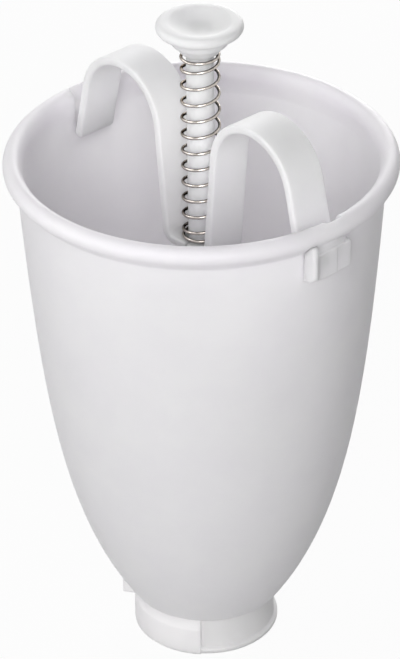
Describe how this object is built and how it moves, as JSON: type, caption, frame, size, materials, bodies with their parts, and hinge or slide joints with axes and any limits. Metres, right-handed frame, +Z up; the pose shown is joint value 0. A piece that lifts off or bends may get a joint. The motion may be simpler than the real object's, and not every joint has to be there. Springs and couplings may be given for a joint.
{
  "type": "donut dropper",
  "caption": "Hand-held batter dispenser: tapered hopper with rolled rim, two-finger bracket, sprung plunger with thumb knob, cone plug and twist-on outlet ring.",
  "frame": {"origin": "centre of the outlet ring's foot, on the table the dropper stands on", "axes": "+Z up along the hopper's axis, towards the thumb knob; X along the finger bracket"},
  "size_m": [0.125, 0.125, 0.2238],
  "materials": {
    "hopper_plastic": "satin moulded polypropylene, cool white",
    "ring_plastic": "satin moulded polypropylene, white",
    "bracket_plastic": "satin moulded polypropylene, white",
    "plunger_plastic": "satin moulded polypropylene, white",
    "spring_steel": "bright drawn stainless wire"
  },
  "bodies": {
    "hopper_body": {"hopper": "hopper_plastic"},
    "ring_body": {"outlet_ring": "ring_plastic"},
    "bracket_body": {"finger_bracket": "bracket_plastic", "return_spring": "spring_steel"},
    "plunger_body": {"plunger_rod": "plunger_plastic", "outlet_plug": "plunger_plastic", "thumb_knob": "plunger_plastic"}
  },
  "joints": [
    {"name": "ring_twist", "type": "hinge", "parent": "hopper_body", "child": "ring_body", "pos_m": [0, 0, 0], "axis": [0, 0, 1], "range_deg": [0, 32]},
    {"name": "bracket_twist", "type": "hinge", "parent": "hopper_body", "child": "bracket_body", "pos_m": [0, 0, 0], "axis": [0, 0, 1], "range_deg": [0, 5.2]},
    {"name": "plunger_press", "type": "slide", "parent": "bracket_body", "child": "plunger_body", "axis": [0, 0, -1], "range_m": [0, 0.025], "stiffness_N_per_m": 120, "springref_m": -0.015, "deforming": ["return_spring"]}
  ]
}
